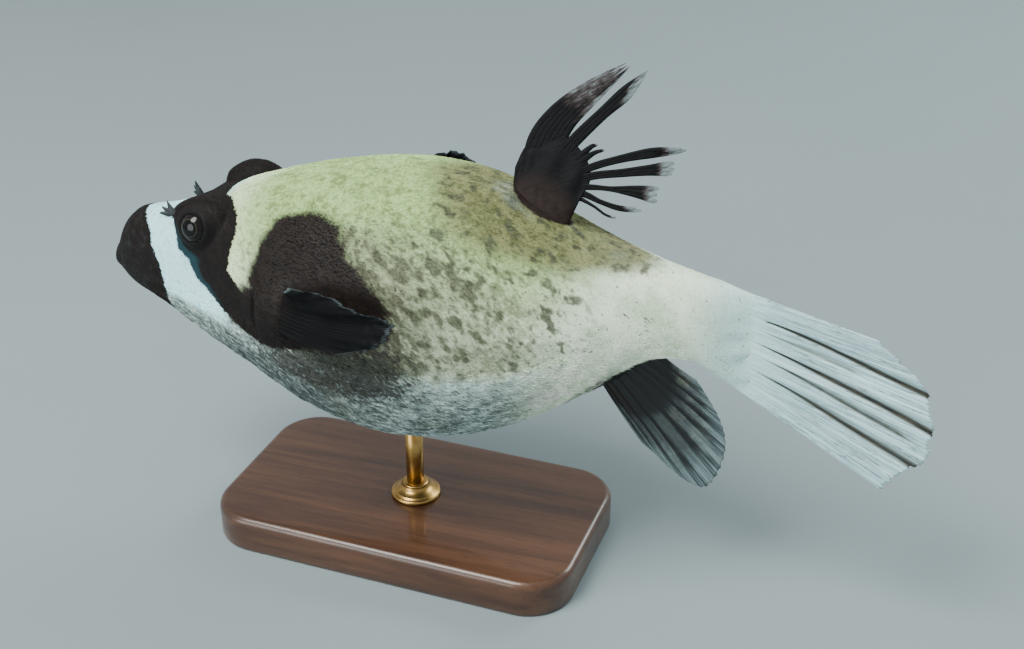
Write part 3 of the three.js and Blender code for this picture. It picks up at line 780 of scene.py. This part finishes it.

# -------------------- tail fin
# Ten soft rays in a thick white membrane, half folded, so that deep grooves run out from the stalk,
# with their shade painted into the colour; the rays fork twice, fine dark lines follow them, and the
# rear edge has torn into small steps.


def fan(rays, bow, across, along, half, offset, margin):
    """Both faces of a fin as one closed shell: its points, its faces, and each point's u and v.

    The point at u across and v along is root(u) + (tip(u) - root(u)) r + bow 4r(1 - r)
    + normal (offset ± half), where r is v times the margin at u. half, offset and margin are
    functions of u and v, and rays holds the root and the tip of a few rays, joined by smooth curves.
    """
    rays = np.asarray(rays, dtype=float)
    u = np.linspace(0, 1, across + 1)[None, :]
    v = np.linspace(0, 1, along + 1)[:, None]
    line = through(rays.reshape(len(rays), 6), u[0] * (len(rays) - 1))
    root, tip = line[:, :3], line[:, 3:]
    middle_ray = rays[len(rays) // 2]
    normal = unit(np.cross(middle_ray[1] - middle_ray[0], rays[0, 0] - rays[-1, 0]))
    reach = (v * margin(u, v))[..., None]
    middle = root + (tip - root) * reach + np.array(bow) * 4 * reach * (1 - reach)
    middle = middle + normal * (offset(u, v) + 0 * u * v)[..., None]
    thick = (half(u, v) + 0 * u * v)[..., None] * normal
    points = np.concatenate([middle + thick, (middle - thick)[:, ::-1]], axis=1)
    ring = np.arange(points.shape[0] * points.shape[1]).reshape(points.shape[:2])
    after = np.roll(ring, -1, axis=1)
    sides = np.stack([ring[:-1], after[:-1], after[1:], ring[1:]], axis=-1).reshape(-1, 4)
    ends = [np.stack([end[:across], end[1:across + 1], end[:across:-1][1:], end[:across:-1][:-1]],
                     axis=-1) for end in (ring[0][::-1], ring[-1])]
    u, v = (np.concatenate([share, share[:, ::-1]], axis=1).ravel() for share in (u + 0 * v, v + 0 * u))
    return points.reshape(-1, 3), [sides, *ends], u, v


def ridges(u, v, count, forks=(0.35, 0.7)):
    """The rays of a fin as ridges from 0 to 1: count of them, which fork at each share of the length."""
    def wave(count):
        return (0.5 - 0.5 * np.cos(2 * math.pi * count * u)) ** 2

    ridge = wave(count)
    for fork in forks:
        count = count * 2
        share = rise(fork - 0.12, fork + 0.12, v)
        ridge = ridge * (1 - share) + wave(count) * share
    return ridge


caudal_rays = [
    [[204, 0, 24.4], [253, 0, 13.6]],
    [[205, 0, 17], [266, 0, 3.4]],
    [[207, 0, 8], [271.5, 0, -10]],
    [[206, 0, 1], [270.5, 0, -24]],
    [[203, 0, -4.6], [259.5, 0, -36]],
]
caudal_count = 10
# Each groove: its place across the fin at the root, how far it drifts, where it starts and ends
# along the rays, and its depth.
caudal_grooves = [
    (0.205, 0.16, 0.1, 1.5, 1),
    (0.305, 0.145, 0.1, 0.62, 0.6),
    (0.43, 0.155, 0.06, 1.5, 1),
    (0.555, 0.135, 0.12, 0.85, 0.8),
    (0.715, 0.11, 0.08, 1.5, 0.9),
    (0.86, 0.06, 0.15, 0.9, 0.3),
]


def caudal_fold(u, v):
    """How deep the folded fin's grooves are, 0 to 1: a long slope down to each and a sharp step up."""
    deep = 0 * u * v
    spread = 0.25 + 0.75 * rise(0.18, 0.6, v)
    for place, drift, start, end, depth in caudal_grooves:
        off = u - place - drift * v - 0.007 * np.sin(7 * v + 40 * place)
        groove = depth * bell(off, np.where(off < 0, 0.04, 0.009) * spread)
        deep = np.maximum(deep, groove * rise(start, start + 0.25, v) * rise(end + 0.12, end, v))
    return deep


def caudal_margin(u, v):
    """1 less a step for each of 26 torn pieces of the edge, a notch in its upper corner and fraying."""
    random = np.random.default_rng(11)
    ends = np.sort(random.uniform(0, 1, 26))
    steps = random.uniform(0, 0.02, 27)[np.searchsorted(ends, u)]
    notch = 0.045 * bell(u - 0.175, 0.03)
    return 1 - steps - notch - 0.006 * np.abs(np.sin(150 * u + 3 * np.sin(11 * u)))


points, faces, u, v = fan(
    caudal_rays, (0, 0, 0), across=420, along=80,
    half=lambda u, v: 0.17 + 0.12 * ridges(u, v, caudal_count) * (1 - 0.6 * v)
    + 2.6 * (1 - v) ** 6 * np.minimum(1, 6 * np.minimum(u, 1 - u)),
    offset=lambda u, v: -1.25 * caudal_fold(u, v) + 0.45 * np.sin(4.4 * math.pi * u) * v,
    margin=caudal_margin)
tail_finish, wire, feed = material("tail_fin")
ray, along_ray, across_fin = map(wire.attribute, ("ray", "along", "across"))
strand = wire.streaks(across_fin * 34, along_ray * 1.6, across_fin * 3, 5, 0.62)
fine = wire.streaks(across_fin * 120, along_ray * 3.5, across_fin, 3, 0.6)
cloud = wire.noise(7, 3, 0.6)
begun = along_ray.step(0.06, 0.46)
hair = (1 - abs(strand - 0.5).step(0.003, 0.02)) * begun * cloud.step(0.34, 0.52)
flecks = wire.noise(1.3, 4, 0.7).step(0.66, 0.74) * along_ray.step(0.3, 0.8) * cloud.step(0.45, 0.6)
# painted shade in the folded fin's grooves: a soft grey-tan band down each slope and a dark line at the
# bottom of each groove
groove_shade = wire.attribute("fold") * (0.75 + cloud * 0.5) + (strand - 0.5) * 0.3
feed(
    base_color=coated(
        (202, 238, 233),
        (begun, (strand * 0.6 + fine * 0.4).step(0.36, 0.6).mix((148, 184, 192), (208, 244, 250))),
        ((1 - ray.step(0, 0.5)) * begun * 0.1, (120, 146, 158)),
        (hair * 0.8, (52, 64, 68)),
        (flecks * 0.6, (70, 82, 82)),
        (groove_shade.step(0.03, 0.6) * 0.7, (138, 146, 134)),
        (groove_shade.step(0.36, 0.92),
         (cloud * 0.5 + fine * 0.5).step(0.4, 0.6).mix((30, 33, 34), (74, 72, 62)))),
    bump=((ray * 0.15 + strand * 1.3 + fine * 0.4) * begun, 0.4, 0.7))
make_piece("tail_fin", to_model(points), faces, tail_finish, replaced=("caudal_fin",), slot="pale_fin",
           attributes={"ray": ridges(u, v, caudal_count), "along": v, "across": u,
                       "fold": caudal_fold(u, v)})

# -------------------- anal fin
# A black fleshy root, nine dark rays that fan out of it, and between them a grey, half clear membrane
# with a pale, finely striped rounded edge.

anal_rays = [
    [[170, 0, -14.5], [184.5, 3, -38.5]],
    [[172.5, 0, -12.5], [195, 4, -47.2]],
    [[176, 0, -10], [205.5, 4, -51.4]],
    [[180, 0, -7], [211, 4, -38]],
    [[184, 0, -4.5], [209, 2.5, -24]],
    [[188, 0, -2], [201, 1, -11]],
]
anal_count = 9


def anal_ray(u, v):
    """The dark rays, 0 to 1: each a bell across the fin that splits in two towards the edge."""
    split = 0.16 * rise(0.55, 1, v)
    place = (u * anal_count + 0.15 * np.sin(9 * u)) % 1 - 0.5
    width = 0.2 - 0.09 * v
    return np.maximum(bell(place - split, width), bell(place + split, width))


points, faces, u, v = fan(
    anal_rays, (-1, 1.5, -1), across=220, along=70,
    half=lambda u, v: 0.13 + 0.22 * anal_ray(u, v) * (1 - 0.6 * v)
    + 2.6 * (1 - v) ** 3.2 * np.minimum(1, 0.3 + 4 * np.minimum(u, 1 - u)),
    offset=lambda u, v: 0.4 * np.sin(6.6 * math.pi * u) * v,
    margin=lambda u, v: 1 - 0.012 * np.abs(np.sin(75 * u)))
anal_finish, wire, feed = material("anal_fin", roughness=0.45)
ray, along_ray, across_fin = map(wire.attribute, ("ray", "along", "across"))
cloudy = wire.noise(5, 4, 0.6)
lines = wire.streaks(across_fin * 80, along_ray * 2, 0, 3, 0.6)
window = across_fin.step(0.35, 0.8) * along_ray.step(0.38, 0.6) * cloudy.step(0.42, 0.62)
edge = (along_ray + (cloudy - 0.5) * 0.35).step(0.62, 0.98)
root_share = 1 - (along_ray + (cloudy - 0.5) * 0.2 - across_fin * 0.06).step(0.34, 0.5)
clear = 1 - (1 - ray.step(0, 0.5)) * along_ray.step(0.45, 0.65) * 0.35
feed(
    base_color=coated(
        (lines * 0.6 + cloudy * 0.4).step(0.35, 0.62).mix((26, 31, 33), (70, 80, 82)),
        (window * 0.6, (112, 116, 90)),
        (edge, lines.step(0.36, 0.6).mix((50, 66, 70), (128, 150, 152))),
        (ray.step(0.25, 0.7) * (1 - edge * 0.45), (12, 13, 15)),
        (root_share, (11, 11, 13))),
    alpha=clear, bump=(ray * 0.8 + lines * 0.5, 0.3, 0.5))
make_piece("anal_fan", to_model(points), faces, anal_finish, replaced=("anal_fin",), slot="dark_fin",
           attributes={"ray": anal_ray(u, v), "along": v, "across": u})

# -------------------- pectoral fins
# Broad black fans of seventeen rays on the fleshy pads behind the cheeks, caught in two beats of
# sculling. Their thin edges are grey and ruffled, with grey ends to some of the rays.

pectoral_rays = np.array([
    [[83, -34, 16.5], [88, -43, 22]],
    [[82.5, -34, 15], [99.5, -46.5, 23.5]],
    [[81.5, -34.5, 13], [113, -50, 22.5]],
    [[80.5, -34.5, 10.5], [124.5, -52, 21]],
    [[78.5, -34.5, 7], [121, -51.5, 13]],
    [[76, -34, 3], [106.5, -48.5, 6]],
])
right_beat = np.array([
    [-2, -4, 3], [-6, -7, 5.4], [-12, -7, 6], [-15, -8, 0.5], [-12, -7, -1], [-6, -4, -1]])
pectoral_count = 17
pectoral_finish, wire, feed = material("pectoral_fin", roughness=0.7, specular=0.12)
ray, along_ray, across_fin = map(wire.attribute, ("ray", "along", "across"))
cloudy = wire.noise(3, 4, 0.6)
strayed = cloudy - 0.5
ends = (along_ray + strayed * 0.35).step(0.78, 0.92) * ray.step(0.35, 0.8) * cloudy.step(0.45, 0.6) * 0.4
upper = 1 - (across_fin + strayed * 0.06 - 0.02 * (1 - along_ray.step(0.1, 0.6))).step(0.008, 0.05)
edge = ((along_ray + strayed * 0.06).step(0.95, 0.99) * 0.35).most(upper)
raised = ray.step(0.2, 0.8)
feed(
    base_color=coated(
        raised.mix((4, 5, 6), (11, 12, 14)),
        (ends, (60, 68, 72)),
        (edge * cloudy.step(0.25, 0.6), raised.mix((66, 77, 81), (126, 140, 144))),
        (1 - along_ray.step(0.05, 0.2), (20, 16, 16))),
    bump=(ray, 0.25, 0.5))
for side_name, way, beat in (("left", 1, 0 * right_beat), ("right", -1, right_beat)):
    points, faces, u, v = fan(
        pectoral_rays + np.stack([0 * beat, beat], axis=1), (0, -3, 0), across=204, along=54,
        half=lambda u, v: 0.13 + 0.2 * ridges(u, v, pectoral_count) * (1 - 0.6 * v) + 2.2 * (1 - v) ** 3,
        offset=lambda u, v: 0.9 * v * np.sin(6 * math.pi * u) + 0.5 * v**5 * np.sin(18 * math.pi * u + 1),
        margin=lambda u, v: 1 - 0.02 * (1 - ridges(u, 0 * u, pectoral_count)))
    make_piece("pectoral_fan_" + side_name, to_model(points * [1, way, 1]), faces, pectoral_finish,
               replaced=("pectoral_fin_" + side_name,), slot="dark_fin",
               attributes={"ray": ridges(u, v, pectoral_count), "along": v, "across": u})

# -------------------- dorsal fin
# A brown fleshy lobe and a black membrane that has torn down its rays into separate blades, each
# of a few strands that fray out into clear grey points.

dorsal_lean, lean_from = 0.15, 40


def on_dorsal(points):
    """Points x, z of the dorsal fin's plane as points of the fish, leaning to its right as it rises."""
    x, z = np.asarray(points, dtype=float)[..., 0], np.asarray(points, dtype=float)[..., 1]
    return np.stack([x, (z - lean_from) * dorsal_lean, z], axis=-1)


lobe_rays = on_dorsal([
    [[141.3, 41], [141.8, 50.5]],
    [[143.4, 39.4], [144.4, 56.5]],
    [[146.5, 37.6], [149, 61.5]],
    [[150.3, 36], [157.5, 61]],
    [[154.5, 35], [163.8, 55.5]],
    [[158, 34.5], [165, 48.5]],
    [[160.4, 34.6], [159.6, 43.4]],
])
points, faces, u, v = fan(
    lobe_rays, (0, 0, 0), across=150, along=60,
    half=lambda u, v: (0.42 + 2.7 * (1 - v) ** 1.5) * np.sin(math.pi * np.clip(u, 0.004, 0.996)) ** 0.55
    * (1 - 0.85 * rise(0.75, 1, v)),
    offset=lambda u, v: 0.25 * rise(0.4, 0.7, v) * rise(1, 0.7, v) * np.sin(10 * math.pi * u),
    margin=lambda u, v: 1 + 0 * u)
dorsal_finish, wire, feed = material("dorsal_fin", roughness=0.6, specular=0.15)
along_ray = wire.attribute("along")
cloudy = wire.noise(2.6, 4, 0.65)
lengthwise = wire.noise(0.7, 3, 0.6, (5, 1, 1), (0, math.radians(-35), 0))
fleshy = 1 - (along_ray + (cloudy - 0.5) * 0.25).step(0.3, 0.62)
ghost = (wire.attribute("clear") + (lengthwise - 0.5) * 0.5 + (cloudy - 0.5) * 0.3).step(0.35, 0.95)
streaked = lengthwise.step(0.3, 0.7)
feed(
    base_color=coated(
        streaked.mix((6, 7, 9), (17, 17, 19)),
        (fleshy, cloudy.step(0.3, 0.7).mix((26, 19, 18), (42, 32, 29))),
        (ghost.step(0, 0.6), (76, 66, 66)),
        (ghost.step(0.4, 1), streaked.mix((74, 84, 86), (146, 158, 161)))),
    alpha=1 - ghost * 0.55, bump=(lengthwise, 0.2, 0.5))
make_piece("dorsal_lobe", to_model(points), faces, dorsal_finish, slot="dark_fin",
           attributes={"along": v, "clear": 0 * v})

# Each blade: its strands; the share of its width that they fill; where its end turns clear; how much
# sooner that comes on its lower side; and the x, the z and the width of points along it.
blades = [
    (7, 0.86, 0.38, 0,
     [[148.5, 47, 8], [150.5, 57.5, 10.2], [155.2, 66.5, 8.5], [163.5, 75, 6.2], [174, 84, 2]]),
    (3, 0.86, 0.58, 0.3,
     [[154, 53, 2.8], [160.2, 61.2, 3.1], [167.5, 69.4, 2.9], [174, 76.2, 3.3], [179.8, 83.2, 1.2]]),
    (1, 0.86, 0.72, 0, [[156, 50, 1.5], [161.5, 56, 1.3], [164.8, 59.4, 0.9], [168.2, 61.8, 0.5]]),
    (1, 0.86, 0.72, 0, [[157, 49.5, 1.3], [162.5, 55, 1.2], [166.3, 58, 0.8], [170, 59, 0.45]]),
    (3, 0.86, 0.66, 0,
     [[157, 48.5, 1.8], [165.6, 53.6, 1.9], [174, 57.1, 2], [183, 60, 2.6], [192.5, 62.2, 2.5]]),
    (3, 0.8, 0.66, 0,
     [[157.5, 47.5, 1.8], [166, 51, 2.1], [174.5, 53, 2.2], [183, 55, 2.8], [191.3, 56.5, 3.9]]),
    (3, 0.6, 0.68, 0,
     [[156.5, 46, 1.9], [165, 47.5, 1.8], [171.5, 47.9, 1.6], [179, 48.2, 3.4], [187.5, 48.5, 5.6]]),
    (2, 0.8, 0.64, 0,
     [[155.5, 44.5, 1.8], [163, 45.3, 1.8], [169, 43.6, 1.3], [175, 42.6, 1.5], [181.5, 43.4, 1.6]]),
    (1, 0.86, 0.7, 0,
     [[155.5, 43.2, 1.2], [161.5, 43.8, 0.9], [166.5, 42.2, 0.6], [171, 40, 0.5], [176, 39.4, 0.5]]),
]
random = np.random.default_rng(23)
blade_rows, blade_sides = 44, 10
v = np.linspace(0, 1, blade_rows)
frayed = rise(0.72, 1, v)[:, None]
rooted = (0.25 + 0.75 * rise(0, 0.22, v))[:, None]
share = np.concatenate([[0], np.repeat(v, blade_sides), [1]])
blade_points, blade_faces, blade_along, blade_clear, made_so_far = [], [[], [], []], [], [], 0
for count, filled, clear_from, sooner, knots in blades:
    curve = through(knots, v * (len(knots) - 1))
    line, width = on_dorsal(curve[:, :2]), curve[:, 2:]
    heading = unit(np.gradient(line, axis=0))
    across = unit(np.cross(heading, [0, 1, 0]))
    lane = ((np.arange(count) + 0.5) / count - 0.5)[:, None, None]
    short = random.uniform(0, 0.1, (count, 1, 1)) * v[:, None] ** 3
    wander = random.normal(0, 0.25, (count, 1, 3)) * frayed * np.array([1, 1.2, 1])
    middle = line + across * lane * width * (1 + 0.12 * frayed) + wander - heading * short * 22
    blunt = 0.8 if count > 5 else 0.88  # where along a strand its end begins to round off
    taper = np.sqrt(np.clip(1 - ((v - blunt) / (1.01 - blunt)).clip(0, 1) ** 2, 0.02, 1))[:, None]
    wide = across * width / count * filled * taper * rooted + 0 * middle
    thick = np.array([0, 1, 0]) * (0.4 - 0.2 * v[:, None]) * rooted * (0.4 + 0.6 * taper) + 0 * middle
    points, faces = strands(middle, wide, thick, blade_sides)
    for group, more in zip(blade_faces, faces):
        group.append(more + made_so_far)
    made_so_far += len(points)
    blade_points.append(points)
    blade_along.append(np.tile(np.maximum(share, 0.6), count))
    outer = 1 - (0.5 - 1.2 * lane**2 + random.uniform(-0.2, 0.1, lane.shape)) * (count > 5)
    from_here = clear_from + sooner * lane[:, 0]
    blade_clear.append((outer[:, 0] * rise(from_here, from_here + 0.35, share)).ravel())
make_piece("dorsal_blades", to_model(np.concatenate(blade_points)),
           [np.concatenate(group) for group in blade_faces], dorsal_finish,
           replaced=("dorsal_fin",), slot="dark_fin",
           attributes={"along": np.concatenate(blade_along), "clear": np.concatenate(blade_clear)})

# -------------------- stand
# A walnut base with rounded corners and a soft upper edge, and a turned brass collar and rod
# that carries the fish at its point of balance.

base_low, base_high = solid_box("stand_base")
base_length, base_breadth, base_height = base_high - base_low
corner_radius, edge_radius, corner_steps = 16, 2.5, 14


def rounded(length, breadth, radius):
    """The outline of a rectangle with round corners: a quarter circle at each corner in turn."""
    quarter = np.radians(np.linspace(0, 90, corner_steps))
    turns = (quarter + np.radians([0, 90, 180, 270])[:, None]).ravel()
    middles = np.array([[1, 1], [-1, 1], [-1, -1], [1, -1]]) * [length / 2 - radius, breadth / 2 - radius]
    circles = radius * np.stack([np.cos(turns), np.sin(turns)], axis=1)
    return np.repeat(middles, corner_steps, axis=0) + circles


edge = np.radians(np.linspace(0, 90, 9))
fall = edge_radius * (1 - np.sin(edge))
inset = np.concatenate([[12, 1.2, 0.3, 0, 0], edge_radius * (1 - np.cos(edge)), [edge_radius + 4, 24]])
level = np.concatenate([[0, 0, 0.3, 1.2, 5], base_height - fall, [base_height] * 2])
base_rows = np.array([np.column_stack([
    rounded(base_length - 2 * back_by, base_breadth - 2 * back_by, max(corner_radius - back_by, 1)),
    np.full(4 * corner_steps, at_level)]) for back_by, at_level in zip(inset, level)])
walnut_finish, wire, feed = material("walnut", roughness=0.34, coat=0.35)
warp = wire.noise(30, 4, 0.55, (4, 1, 1))
plank = wire.noise(5, 5, 0.62, (18, 1, 1), (0, 0, 0.04))
pores = wire.noise(0.5, 2, 0.5, (16, 1, 1))
feed(
    base_color=coated(
        (plank * 0.6 + warp * 0.4).step(0.36, 0.64).mix((58, 36, 24), (92, 61, 41)),
        (pores.step(0.6, 0.72) * 0.6, (30, 18, 12))),
    bump=(pores, 0.1, 0.4))
make_piece("base", with_poles(base_rows) / 1000, shell_faces(len(inset), 4 * corner_steps), walnut_finish,
           replaced=("stand_base",), slot="base_wood")

brass_finish, wire, feed = material("brass", metallic=1)
brushed = wire.noise(0.25, 2, 0.5, (1, 1, 12))
patina = wire.noise(6, 4, 0.6)
feed(base_color=patina.step(0.35, 0.75).mix((196, 160, 96), (150, 116, 62)),
     roughness=patina * 0.25 + brushed * 0.12 + 0.12, bump=(brushed, 0.05, 0.3))


turned_sides = 64


def turned(name, node, *outline):
    """A piece turned round the rod's axis from an outline of radius and height, closed on the axis."""
    turn = round_turn(turned_sides)
    radius, level = np.array(outline).T[..., None]
    loops = np.stack([radius * np.cos(turn), radius * np.sin(turn), level + 0 * turn], axis=-1)
    make_piece(name, with_poles(loops) / 1000, shell_faces(len(outline), turned_sides), brass_finish,
               replaced=(node,), slot="stand_brass")


rod_low, rod_high = solid_box("stand_rod")
collar_low, collar_high = solid_box("stand_collar")
rod_radius, collar_radius = (rod_high - rod_low)[0] / 2, (collar_high - collar_low)[0] / 2
foot_level, neck_level = collar_low[2] - 0.3, collar_high[2]
swell = np.linspace(0, 1, 14)
swell_radius = rod_radius + 1.5 + (collar_radius - rod_radius - 2.8) * (1 - swell) ** 2.2
swell_level = foot_level + 2 + (neck_level - foot_level - 2.6) * swell
turned(
    "collar", "stand_collar",
    [collar_radius - 0.4, foot_level], [collar_radius, foot_level + 0.4],
    [collar_radius, foot_level + 1.2], [collar_radius - 0.4, foot_level + 1.6],
    [collar_radius - 1.2, foot_level + 1.7], *zip(swell_radius, swell_level),
    [rod_radius + 1.6, neck_level - 0.5], [rod_radius + 1.3, neck_level - 0.1], [rod_radius, neck_level])
turned("rod", "stand_rod", [rod_radius, foot_level - 1], [rod_radius, rod_high[2] + 0.6])
